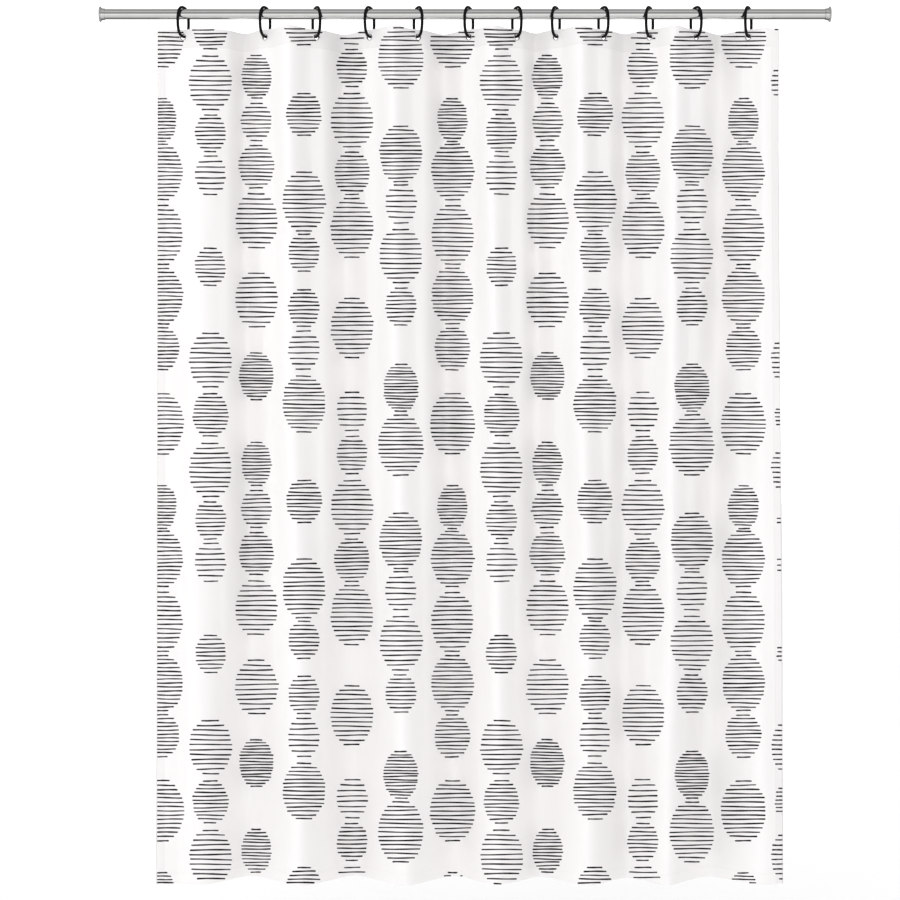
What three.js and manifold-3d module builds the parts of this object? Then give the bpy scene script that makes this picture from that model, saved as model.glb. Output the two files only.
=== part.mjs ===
// Shower curtain hung by twelve rings from a tension rod. Units are millimetres, +Z is up.
// X runs along the rod from the left wall, and -Y is the room side. The origin is the point
// where the rod's axis meets the left wall.
import * as THREE from "three";
import { mergeVertices } from "three/addons/utils/BufferGeometryUtils.js";
import Module from "manifold-3d";

const wasm = await Module();
wasm.setup();

// ---------------------------------------------------------------- driving dimensions
const WALL_TO_WALL = 1554; // between the faces of the two foot pads
const TOUCH_GAP = 0.3; // left between pieces that touch

const PAD_RADIUS = 16.5;
const PAD_THICKNESS = 2;
const CAP_LENGTH = 9.5; // end cap without its pad
const CAP_FLOOR = 2; // solid disc behind the pad
const CAP_COLLAR_RADIUS = 12.4;
const OUTER_TUBE_RADIUS = 11;
const INNER_TUBE_RADIUS = 9.8;
const TUBE_WALL = 0.8;
const OUTER_TUBE_END = WALL_TO_WALL - PAD_THICKNESS - CAP_LENGTH - 2 * TOUCH_GAP;
const INNER_TUBE_START = 640;

const SPINDLE_RADIUS = 3;
const SPINDLE_START = 540;
const SPINDLE_END = 690;
const PLUG_START = 626;
const PLUG_END = 668;
const CONE_LENGTH = 34;

// Centre of each ring along the rod, and which way it is turned: +1 has its front at the right.
const RING_X = [178, 352, 461, 574, 677, 785, 887, 970, 1071, 1169, 1268, 1379];
const RING_TURN = [-1, -1, 1, -1, 1, -1, 1, -1, 1, -1, 1, -1];
const RING_YAW_DEG = 25.5;
const RING_WIRE_RADIUS = 3.1;
const RING_HALF_HEIGHT = 31; // of the wire's centre line
const RING_HALF_WIDTH = 21;
const RING_SQUARENESS = 2.5; // 2 is an ellipse, more is squarer
const RING_GAP_AT_DEG = 230; // counted from the front, up and over the rod
const RING_GAP_DEG = 12;
const RING_TOP = OUTER_TUBE_RADIUS + TOUCH_GAP + RING_WIRE_RADIUS;
const RING_CENTRE_Z = RING_TOP - RING_HALF_HEIGHT;

const HOLE_RADIUS = 5.2; // through the grommet
const BARREL_RADIUS = 5.9;
const FLANGE_RADIUS = 7;
const FLANGE_THICKNESS = 0.8;
const LIP_RADIUS = 6.7;
const WASHER_RADIUS = 7.3;
const CLOTH_HOLE_RADIUS = BARREL_RADIUS + TOUCH_GAP;
const HANG_GAP = 1; // between a ring's wire and the top of its hole
const WIRE_INSIDE_Z = RING_CENTRE_Z - RING_HALF_HEIGHT + RING_WIRE_RADIUS;
const GROMMET_Z = WIRE_INSIDE_Z + HANG_GAP - HOLE_RADIUS;

const CLOTH_THICKNESS = 0.6;
const CLOTH_TOP = -32.5;
const CLOTH_BOTTOM = -1843;
const HEADER_DEPTH = 40;
const BOTTOM_HEM_DEPTH = 25;
const SIDE_HEM_WIDTH = 18;
const FIRST_SLOPE = -0.2; // dy/dx of the cloth where the first ring holds it
const HEADER_SLOPE = 0.5; // steepness of a fold's flank where each other ring holds it
const BOTTOM_SLOPE = 1.3; // steepness of a flank at the bottom edge
const FOLD_DEPTH = 0.48; // crest height over the width of a fold
const SEAT_HALF_WIDTH = 10; // half the straight stretch that carries a grommet
const FLANK_HALF_WIDTH = 5; // half the straight stretch of a flank at the bottom edge
const CROSSING_DRIFT = [0, 28, 18, 30, 19, 25, 0, 19, 11, -5, -23, -23];
const HEADER_HELD_TO = -90; // above this height the folds keep their header shape

// ---------------------------------------------------------------- materials
const finishes = {
  steel: new THREE.MeshStandardMaterial({ color: 0xb9bcbc, roughness: 0.2, metalness: 1 }),
  rubber: new THREE.MeshStandardMaterial({ color: 0xc9c9c7, roughness: 0.8, metalness: 0 }),
  insidePlastic: new THREE.MeshStandardMaterial({ color: 0xe2e0da, roughness: 0.6, metalness: 0 }),
  ringPlastic: new THREE.MeshStandardMaterial({ color: 0x0b0b0c, roughness: 0.35, metalness: 0 }),
  cloth: new THREE.MeshStandardMaterial({ color: 0xf6f5f3, roughness: 0.85, metalness: 0 }),
};

const curtainOnRod = new THREE.Group();

// Adds one named piece to a group.
function addPiece(group, name, geometry, finish) {
  const mesh = new THREE.Mesh(geometry, finishes[finish].clone());
  mesh.name = name;
  group.add(mesh);
  return mesh;
}

// ---------------------------------------------------------------- turned pieces
// Turns a closed outline of [radius, distance along the axis] points about the Y axis.
function turned(outline, segments) {
  const points = outline.map(([radius, along]) => new THREE.Vector2(radius, along));
  points.push(points[0].clone());
  return new THREE.LatheGeometry(points, segments);
}

// Lays a piece turned about Y along the rod instead.
function alongRod(geometry) {
  return geometry.rotateZ(-Math.PI / 2);
}

function tubeOutline(outerRadius, wall, start, end) {
  const innerRadius = outerRadius - wall;
  return [
    [innerRadius, start],
    [outerRadius, start],
    [outerRadius, end],
    [innerRadius, end],
  ];
}

// ---------------------------------------------------------------- rod
function addFootPad(group, name, start) {
  const pad = new THREE.CylinderGeometry(PAD_RADIUS, PAD_RADIUS, PAD_THICKNESS, 24);
  const mesh = addPiece(group, name, alongRod(pad), "rubber");
  mesh.position.x = start + PAD_THICKNESS / 2;
}

// Trumpet-shaped cap: wide against the pad, with a collar round the tube it holds.
function capGeometry(tubeRadius) {
  const bore = tubeRadius + TOUCH_GAP;
  const outline = [
    [0, 0],
    [PAD_RADIUS, 0],
    [PAD_RADIUS, 0.8],
    [14.6, 2.4],
    [13.3, 4.4],
    [CAP_COLLAR_RADIUS, 7],
    [CAP_COLLAR_RADIUS, CAP_LENGTH],
    [bore, CAP_LENGTH],
    [bore, CAP_FLOOR],
    [0, CAP_FLOOR],
  ];
  const points = outline.map(([radius, along]) => new THREE.Vector2(radius, along));
  return alongRod(new THREE.LatheGeometry(points, 24));
}

function addRodEnds(group) {
  addFootPad(group, "left_foot_pad", 0);
  addFootPad(group, "right_foot_pad", WALL_TO_WALL - PAD_THICKNESS);
  const left = addPiece(group, "left_end_cap", capGeometry(OUTER_TUBE_RADIUS), "steel");
  left.position.x = PAD_THICKNESS + TOUCH_GAP;
  const right = addPiece(group, "right_end_cap", capGeometry(INNER_TUBE_RADIUS), "steel");
  right.position.x = WALL_TO_WALL - PAD_THICKNESS - TOUCH_GAP;
  right.rotation.z = Math.PI;
}

function addTubes(group) {
  const socketFloor = PAD_THICKNESS + CAP_FLOOR + 2 * TOUCH_GAP;
  const outer = tubeOutline(OUTER_TUBE_RADIUS, TUBE_WALL, socketFloor, OUTER_TUBE_END);
  addPiece(group, "rod_outer_tube", alongRod(turned(outer, 32)), "steel");
  const innerEnd = WALL_TO_WALL - socketFloor;
  const inner = tubeOutline(INNER_TUBE_RADIUS, TUBE_WALL, INNER_TUBE_START, innerEnd);
  addPiece(group, "rod_inner_tube", alongRod(turned(inner, 32)), "steel");
}

// Twist lock inside the rod: a plug in the inner tube, a spindle through it, and a cone
// on the spindle's end that grips the outer tube's bore.
function addTwistLock(group) {
  const bore = SPINDLE_RADIUS + TOUCH_GAP;
  const flange = INNER_TUBE_RADIUS - 0.2;
  const spigot = INNER_TUBE_RADIUS - TUBE_WALL - TOUCH_GAP;
  const plug = [
    [bore, PLUG_START],
    [flange, PLUG_START],
    [flange, INNER_TUBE_START - TOUCH_GAP],
    [spigot, INNER_TUBE_START - TOUCH_GAP],
    [spigot, PLUG_END],
    [bore, PLUG_END],
  ];
  addPiece(group, "rod_lock_plug", alongRod(turned(plug, 24)), "insidePlastic");
  const cone = [
    [bore, SPINDLE_START],
    [flange - 1.6, SPINDLE_START],
    [flange, SPINDLE_START + CONE_LENGTH * 0.4],
    [flange, SPINDLE_START + CONE_LENGTH],
    [bore, SPINDLE_START + CONE_LENGTH],
  ];
  addPiece(group, "rod_grip_cone", alongRod(turned(cone, 24)), "insidePlastic");
  const length = SPINDLE_END - SPINDLE_START;
  const rod = new THREE.CylinderGeometry(SPINDLE_RADIUS, SPINDLE_RADIUS, length, 16);
  const spindle = addPiece(group, "rod_lock_spindle", alongRod(rod), "steel");
  spindle.position.x = (SPINDLE_START + SPINDLE_END) / 2;
}

// ---------------------------------------------------------------- rings
// Centre line of an open ring: a rounded oblong, in the plane of X (front) and Y (up).
class OblongRing extends THREE.Curve {
  getPoint(t, target = new THREE.Vector3()) {
    const start = RING_GAP_AT_DEG + RING_GAP_DEG / 2;
    const angle = THREE.MathUtils.degToRad(start + t * (360 - RING_GAP_DEG));
    const across = Math.abs(Math.cos(angle)) / RING_HALF_WIDTH;
    const up = Math.abs(Math.sin(angle)) / RING_HALF_HEIGHT;
    const sum = across ** RING_SQUARENESS + up ** RING_SQUARENESS;
    const radius = sum ** (-1 / RING_SQUARENESS);
    return target.set(radius * Math.cos(angle), radius * Math.sin(angle), 0);
  }
}

function ringGeometry() {
  const section = new THREE.Shape();
  section.absarc(0, 0, RING_WIRE_RADIUS, 0, 2 * Math.PI);
  const geometry = new THREE.ExtrudeGeometry(section, {
    steps: 22,
    curveSegments: 4,
    extrudePath: new OblongRing(),
  });
  return geometry.rotateX(Math.PI / 2);
}

// Turn about the vertical that faces a ring's front, its +X, along the cloth's front normal.
function frontTurn(slope) {
  return -Math.PI / 2 + Math.atan(slope);
}

function addRing(group, index) {
  const ring = addPiece(group, `ring_${label(index)}`, ringGeometry(), "ringPlastic");
  ring.position.set(RING_X[index], 0, RING_CENTRE_Z);
  const yaw = THREE.MathUtils.degToRad(RING_YAW_DEG) * RING_TURN[index];
  ring.rotation.z = frontTurn(Math.tan(yaw));
}

function label(index) {
  return String(index + 1).padStart(2, "0");
}

// ---------------------------------------------------------------- folds of the cloth
// Each knot is a place along the cloth's width, as [x, y, dy/dx] at the header and at the
// bottom edge, with the mesh columns from it to the next. The folds follow a cubic curve
// from knot to knot.
function foldKnots() {
  const crossings = [260, ...RING_X.slice(1)];
  const fallen = crossings.map((x, i) => x + CROSSING_DRIFT[i]);
  const knots = [
    { header: [122, 6, 0], bottom: [118, -26, 0], columns: 1 },
    {
      header: [122 + SIDE_HEM_WIDTH, 5, -0.1],
      bottom: [118 + SIDE_HEM_WIDTH, -27, -0.1],
      columns: 2,
    },
    ...straight(RING_X[0], RING_X[0], FIRST_SLOPE, 0, -24),
    { header: [217, -14, 0], bottom: [214, -30, 0], columns: 3 },
  ];
  crossings.forEach((x, i) => {
    const side = i % 2 === 0 ? 1 : -1;
    knots.push(...straight(x, fallen[i], side * HEADER_SLOPE, side * BOTTOM_SLOPE, 0));
    if (i + 1 < crossings.length)
      knots.push({
        header: crest(x, crossings[i + 1], side),
        bottom: crest(fallen[i], fallen[i + 1], side),
        columns: 3,
      });
  });
  knots.push({ header: [1410, -20, 0], bottom: [1400, -34, 0], columns: 2 });
  knots.push({
    header: [1442 - SIDE_HEM_WIDTH, -17, 0.3],
    bottom: [1450 - SIDE_HEM_WIDTH, -24, 0.3],
    columns: 1,
  });
  knots.push({ header: [1442, -11, 0.4], bottom: [1450, -18, 0.4], columns: 0 });
  return knots;
}

function crest(from, to, side) {
  return [(from + to) / 2, side * FOLD_DEPTH * (to - from), 0];
}

// The two ends of a straight stretch, centred on x at the header and fallenX at the bottom.
function straight(x, fallenX, slope, fallenSlope, fallenY) {
  return [-1, 1].map((end) => ({
    header: [x + end * SEAT_HALF_WIDTH, end * SEAT_HALF_WIDTH * slope, slope],
    bottom: [
      fallenX + end * FLANK_HALF_WIDTH,
      fallenY + end * FLANK_HALF_WIDTH * fallenSlope,
      fallenSlope,
    ],
    columns: end < 0 ? 1 : 3,
  }));
}

const KNOTS = foldKnots();

// Mesh columns as places along the knots: 2.5 is halfway from knot 2 to knot 3.
const STATIONS = KNOTS.flatMap(({ columns }, index) =>
  Array.from({ length: columns }, (_, step) => index + step / columns),
);
STATIONS.push(KNOTS.length - 1);

// Share of the way from the header's fold shape to the bottom edge's, at height z.
function fallShare(z) {
  return THREE.MathUtils.smoothstep(HEADER_HELD_TO - z, 0, HEADER_HELD_TO - CLOTH_BOTTOM);
}

function knotAt(knot, z) {
  const share = fallShare(z);
  return knot.header.map((value, i) => THREE.MathUtils.lerp(value, knot.bottom[i], share));
}

// Point and front normal on the cloth, at a station along the knots and a height.
function clothFrame(station, z) {
  const index = Math.min(Math.floor(station), KNOTS.length - 2);
  const [x0, y0, slope0] = knotAt(KNOTS[index], z);
  const [x1, y1, slope1] = knotAt(KNOTS[index + 1], z);
  const span = x1 - x0;
  const t = station - index;
  const rise = 3 * (y1 - y0) - span * (2 * slope0 + slope1);
  const turn = 2 * (y0 - y1) + span * (slope0 + slope1);
  const y = y0 + t * (span * slope0 + t * (rise + t * turn));
  const slope = slope0 + (t * (2 * rise + 3 * t * turn)) / span;
  const length = Math.hypot(1, slope);
  return { x: x0 + t * span, y, normalX: slope / length, normalY: -1 / length };
}

// A box splits its two opposite sides along mirrored diagonals. A twisted layer keeps its
// thickness only if both sides are split alike, so this splits one side the other way.
const ROOM_SIDE = 3; // place of the -Y side among a box's groups
function matchDiagonals(box, side) {
  const { start, count } = box.groups[side];
  const index = box.getIndex();
  for (let first = start; first < start + count; first += 6) {
    const [a, b, d, c] = [0, 1, 2, 4].map((step) => index.getX(first + step));
    [a, b, c, a, c, d].forEach((vertex, step) => index.setX(first + step, vertex));
  }
}

// A closed layer of cloth: a flat box bent along the folds. It covers a range of stations
// and of heights, and its front face lies `behind` mm behind the cloth's middle.
function clothLayer({ stations = STATIONS, heights, behind, thickness }) {
  const columns = stations.length - 1;
  const rows = heights.length - 1;
  const box = new THREE.BoxGeometry(1, 1, 1, columns, 1, rows);
  const position = box.getAttribute("position");
  for (let i = 0; i < position.count; i++) {
    const station = stations[Math.round((position.getX(i) + 0.5) * columns)];
    const z = heights[Math.round((position.getZ(i) + 0.5) * rows)];
    const back = behind + thickness * (position.getY(i) + 0.5);
    const at = clothFrame(station, z);
    position.setXYZ(i, at.x - back * at.normalX, at.y - back * at.normalY, z);
  }
  matchDiagonals(box, ROOM_SIDE);
  return box;
}

// ---------------------------------------------------------------- joins and cuts
function toSolid(geometry) {
  const bare = geometry.clone();
  bare.deleteAttribute("normal");
  bare.deleteAttribute("uv");
  const merged = mergeVertices(bare, 1e-4);
  return new wasm.Manifold(
    new wasm.Mesh({
      numProp: 3,
      vertProperties: merged.getAttribute("position").array,
      triVerts: new Uint32Array(merged.index.array),
    }),
  );
}

function fromSolid(solid) {
  const mesh = solid.getMesh();
  const geometry = new THREE.BufferGeometry();
  geometry.setAttribute("position", new THREE.BufferAttribute(mesh.vertProperties, 3));
  geometry.setIndex(new THREE.BufferAttribute(mesh.triVerts, 1));
  geometry.computeVertexNormals();
  return geometry;
}

// dy/dx of the cloth where ring `index` holds it.
function slopeAtRing(index) {
  if (index === 0) return FIRST_SLOPE;
  return index % 2 === 0 ? HEADER_SLOPE : -HEADER_SLOPE;
}

// Punches the twelve grommet holes through a layer of the header.
function punched(geometry) {
  let solid = toSolid(geometry);
  RING_X.forEach((x, index) => {
    const punch = new THREE.CylinderGeometry(CLOTH_HOLE_RADIUS, CLOTH_HOLE_RADIUS, 12, 12);
    punch.rotateZ(-Math.PI / 2);
    punch.rotateZ(frontTurn(slopeAtRing(index)));
    punch.translate(x, 0, GROMMET_Z);
    solid = solid.subtract(toSolid(punch));
  });
  return fromSolid(solid);
}

// ---------------------------------------------------------------- cloth
const FOLD_HEIGHTS = [-1420, -1000, -600, -280];
const HEM_TOP = CLOTH_BOTTOM + BOTTOM_HEM_DEPTH;
const HEADER_BOTTOM = CLOTH_TOP - HEADER_DEPTH;
const HALF_CLOTH = CLOTH_THICKNESS / 2;
const SECOND_LAYER = HALF_CLOTH + TOUCH_GAP;

function addCloth(group) {
  const heights = [CLOTH_BOTTOM, HEM_TOP, ...FOLD_HEIGHTS, HEADER_BOTTOM, CLOTH_TOP];
  const panel = clothLayer({ heights, behind: -HALF_CLOTH, thickness: CLOTH_THICKNESS });
  addPiece(group, "curtain_panel", punched(panel), "cloth");
  addHem(group, "header_hem", { heights: [HEADER_BOTTOM, CLOTH_TOP] }, punched);
  addHem(group, "bottom_hem", { heights: [CLOTH_BOTTOM, HEM_TOP] });
  const between = [HEM_TOP + 1, ...FOLD_HEIGHTS, HEADER_BOTTOM - 1];
  addHem(group, "left_side_hem", { stations: STATIONS.slice(0, 2), heights: between });
  addHem(group, "right_side_hem", { stations: STATIONS.slice(-2), heights: between });
}

// A turned-back edge: a second layer right behind the cloth.
function addHem(group, name, extent, finish = (geometry) => geometry) {
  const layer = { ...extent, behind: SECOND_LAYER, thickness: CLOTH_THICKNESS };
  addPiece(group, name, finish(clothLayer(layer)), "cloth");
}

// ---------------------------------------------------------------- grommets
const GROMMET_FRONT = HALF_CLOTH + TOUCH_GAP + FLANGE_THICKNESS; // ahead of the cloth's middle
const WASHER_START = SECOND_LAYER + CLOTH_THICKNESS + TOUCH_GAP;
const WASHER_END = WASHER_START + FLANGE_THICKNESS;
const LIP_START = WASHER_END + TOUCH_GAP;

// Outlines run along the cloth's normal, with Y counted towards the front.
function grommetGeometry() {
  const outline = [
    [HOLE_RADIUS, -LIP_START - 0.6],
    [LIP_RADIUS, -LIP_START - 0.6],
    [LIP_RADIUS, -LIP_START],
    [BARREL_RADIUS, -LIP_START],
    [BARREL_RADIUS, GROMMET_FRONT - FLANGE_THICKNESS],
    [FLANGE_RADIUS, GROMMET_FRONT - FLANGE_THICKNESS],
    [FLANGE_RADIUS, GROMMET_FRONT],
    [HOLE_RADIUS, GROMMET_FRONT],
  ];
  return alongRod(turned(outline, 12));
}

function washerGeometry() {
  const wall = WASHER_RADIUS - CLOTH_HOLE_RADIUS;
  const outline = tubeOutline(WASHER_RADIUS, wall, -WASHER_END, -WASHER_START);
  return alongRod(turned(outline, 12));
}

function addGrommet(group, index) {
  const seat = new THREE.Group();
  seat.position.set(RING_X[index], 0, GROMMET_Z);
  seat.rotation.z = frontTurn(slopeAtRing(index));
  addPiece(seat, `grommet_${label(index)}`, grommetGeometry(), "steel");
  addPiece(seat, `grommet_washer_${label(index)}`, washerGeometry(), "steel");
  group.add(seat);
}

// ---------------------------------------------------------------- assembly
addRodEnds(curtainOnRod);
addTubes(curtainOnRod);
addTwistLock(curtainOnRod);
addCloth(curtainOnRod);
for (let index = 0; index < RING_X.length; index++) {
  addRing(curtainOnRod, index);
  addGrommet(curtainOnRod, index);
}

export default curtainOnRod;
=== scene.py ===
"""A shower curtain with striped dots, hung by twelve open rings from an extending rod.

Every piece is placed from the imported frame. X runs along the rod, -Y is the room side, +Z is
up, and lengths are metres.
"""

import logging
import math
from dataclasses import dataclass, field
from enum import Enum
from functools import partial
from typing import Optional, Sequence

import bpy
import numpy as np
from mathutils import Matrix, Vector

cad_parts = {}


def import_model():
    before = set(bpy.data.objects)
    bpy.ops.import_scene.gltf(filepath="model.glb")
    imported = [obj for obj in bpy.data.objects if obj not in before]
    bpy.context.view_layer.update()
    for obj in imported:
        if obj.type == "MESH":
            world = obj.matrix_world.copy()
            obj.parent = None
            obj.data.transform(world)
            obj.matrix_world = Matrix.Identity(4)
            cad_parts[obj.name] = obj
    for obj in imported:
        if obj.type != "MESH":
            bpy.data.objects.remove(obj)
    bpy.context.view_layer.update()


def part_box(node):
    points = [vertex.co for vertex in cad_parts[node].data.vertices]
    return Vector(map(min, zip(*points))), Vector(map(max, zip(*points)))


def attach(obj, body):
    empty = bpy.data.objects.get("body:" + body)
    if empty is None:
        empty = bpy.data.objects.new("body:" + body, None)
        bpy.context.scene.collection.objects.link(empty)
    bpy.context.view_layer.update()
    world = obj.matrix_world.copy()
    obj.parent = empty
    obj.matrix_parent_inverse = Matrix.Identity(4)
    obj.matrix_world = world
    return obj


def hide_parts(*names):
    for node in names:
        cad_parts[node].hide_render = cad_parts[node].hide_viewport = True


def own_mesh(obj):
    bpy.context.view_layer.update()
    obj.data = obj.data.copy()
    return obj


log = logging.getLogger("shower_curtain")

MM = 0.001
RINGS = 12
STANDING_POINT = (0.745, -4.5, -0.926)
# dy/dx of the cloth at the first grommet, and at the others, where its sign takes turns
FIRST_SLOPE = -0.2
HEADER_SLOPE = 0.5
MOST_OF_SIDE = 0.45


# ------------------------------------------------------------------ mesh helpers
def smoothstep(edge_from: float, edge_to: float, value: np.ndarray) -> np.ndarray:
    """Returns the share of the way between two edges, eased at both ends as 3t^2 - 2t^3."""
    share = np.clip((value - edge_from) / (edge_to - edge_from), 0, 1)
    return share * share * (3 - 2 * share)


def grid_faces(index: np.ndarray, wrap_rows: bool = False, wrap_columns: bool = False) -> np.ndarray:
    """Joins a grid of vertex numbers into quads.

    Args:
        index: Vertex numbers, one row for each step of the first parameter.
        wrap_rows: Also joins the last row to the first.
        wrap_columns: Also joins the last column to the first.

    Returns:
        Quads as an array of four vertex numbers each.
    """
    if wrap_rows:
        index = np.vstack([index, index[:1]])
    if wrap_columns:
        index = np.hstack([index, index[:, :1]])
    corners = (index[:-1, :-1], index[:-1, 1:], index[1:, 1:], index[1:, :-1])
    return np.stack([corner.ravel() for corner in corners], axis=1)


def new_object(
    name: str, points: np.ndarray, faces: list, uv: Optional[np.ndarray] = None
) -> bpy.types.Object:
    """Makes a smooth-shaded mesh object at the origin.

    Args:
        name: The piece's name.
        points: Vertices, (n, 3), in metres.
        faces: Faces, as lists of vertex numbers.
        uv: Flat coordinates of each vertex, (n, 2), for a pattern that follows the surface.

    Returns:
        The linked object.
    """
    mesh = bpy.data.meshes.new(name)
    mesh.from_pydata(points.tolist(), [], faces)
    mesh.polygons.foreach_set("use_smooth", np.ones(len(faces), bool))
    if uv is not None:
        corner = np.zeros(len(mesh.loops), np.int32)
        mesh.loops.foreach_get("vertex_index", corner)
        layer = mesh.uv_layers.new(name="Cut")
        layer.data.foreach_set("uv", uv[corner].astype(np.float32).ravel())
    mesh.update()
    made = bpy.data.objects.new(name, mesh)
    bpy.context.scene.collection.objects.link(made)
    return made


def capped(name: str, rows: np.ndarray, poles: np.ndarray) -> bpy.types.Object:
    """Makes a closed shape from rings of points, with a fan of triangles at each end.

    Args:
        name: The piece's name.
        rows: Rings of points, (rows, sides, 3), which run anticlockwise seen from the last row.
        poles: The middle of the first end and of the last, (2, 3).

    Returns:
        The closed piece.
    """
    count, sides = rows.shape[:2]
    index = np.arange(count * sides).reshape(count, sides)
    first, last = np.full(sides, count * sides), np.full(sides, count * sides + 1)
    faces = grid_faces(index, wrap_columns=True).tolist()
    faces += np.stack([first, np.roll(index[0], -1), index[0]], axis=1).tolist()
    faces += np.stack([last, index[-1], np.roll(index[-1], -1)], axis=1).tolist()
    return new_object(name, np.vstack([rows.reshape(-1, 3), poles]), faces)


def applied(piece: bpy.types.Object) -> bpy.types.Object:
    """Applies a piece's modifiers to its mesh, and returns the piece."""
    graph = bpy.context.evaluated_depsgraph_get()
    mesh = bpy.data.meshes.new_from_object(piece.evaluated_get(graph))
    piece.modifiers.clear()
    piece.data = mesh
    return piece


def rounded_outline(corners: Sequence[tuple[float, float]], radius: float, steps: int = 4) -> np.ndarray:
    """Rounds the corners of a closed outline, or of an open one that starts and ends on the axis.

    Each corner gives way to the curve a(1-t)^2 + 2ct(1-t) + bt^2 between the points a and b
    that lie one radius before and after the corner c, or less where a side is short.

    Args:
        corners: Points of the outline, without repeating the first.
        radius: Distance from a corner at which its rounding starts.
        steps: Straight pieces in each rounding.

    Returns:
        Points of the rounded outline, (n, 2).
    """
    corner = np.array(corners, float)
    before, after = np.roll(corner, 1, axis=0) - corner, np.roll(corner, -1, axis=0) - corner
    ends = []
    for side in (before, after):
        length = np.linalg.norm(side, axis=1, keepdims=True)
        ends.append(corner + side / length * np.minimum(radius, MOST_OF_SIDE * length))
    t = np.linspace(0, 1, steps + 1)[None, :, None]
    start, middle, end = ends[0][:, None], corner[:, None], ends[1][:, None]
    rounded = start * (1 - t) ** 2 + 2 * middle * t * (1 - t) + end * t * t
    if corner[0, 0] == 0:
        return np.vstack([corner[:1], rounded[1:-1].reshape(-1, 2), corner[-1:]])
    return rounded.reshape(-1, 2)


def turned(
    name: str,
    outline: np.ndarray,
    origin: Sequence[float],
    axis: Sequence[float],
    segments: int,
) -> bpy.types.Object:
    """Turns an outline about a level axis.

    A point at radius r and distance d goes to origin + d*axis + r*(cos a * across + sin a * up),
    where across and up are square to the axis.

    Args:
        name: The piece's name.
        outline: (radius, distance along the axis) points. A closed outline starts at its inner
            side and goes forward there. An open one starts and ends on the axis and goes forward.
        origin: A point on the axis.
        axis: Direction of the axis.
        segments: Steps round the axis.

    Returns:
        The turned piece.
    """
    along = np.array(axis, float) / np.linalg.norm(axis)
    up = np.array([0.0, 0.0, 1.0])
    angle = np.linspace(0, 2 * math.pi, segments, endpoint=False)
    spoke = np.outer(np.cos(angle), np.cross(up, along)) + np.outer(np.sin(angle), up)
    radius, distance = outline[:, 0], outline[:, 1]
    points = np.array(origin) + distance[:, None, None] * along + radius[:, None, None] * spoke
    if radius[0] == 0:
        return capped(name, points[1:-1], points[[0, -1], 0])
    index = np.arange(points.shape[0] * segments).reshape(-1, segments)
    faces = grid_faces(index, wrap_rows=True, wrap_columns=True)[:, ::-1]
    return new_object(name, points.reshape(-1, 3), faces.tolist())


# ------------------------------------------------------------------ finishes
def feed(tree: bpy.types.NodeTree, socket: bpy.types.NodeSocket, value: object) -> None:
    """Links an output to a socket, or sets the socket to a value."""
    if isinstance(value, bpy.types.NodeSocket):
        tree.links.new(value, socket)
    else:
        socket.default_value = value


def math_node(tree: bpy.types.NodeTree, operation: str, *values: object) -> bpy.types.NodeSocket:
    """Adds a math node.

    Args:
        tree: The node tree that it goes into.
        operation: What it works out, such as MULTIPLY.
        values: Its inputs in order, as numbers or sockets.

    Returns:
        Its output.
    """
    node = tree.nodes.new("ShaderNodeMath")
    node.operation = operation
    for socket, value in zip(node.inputs, values):
        feed(tree, socket, value)
    return node.outputs[0]


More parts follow.
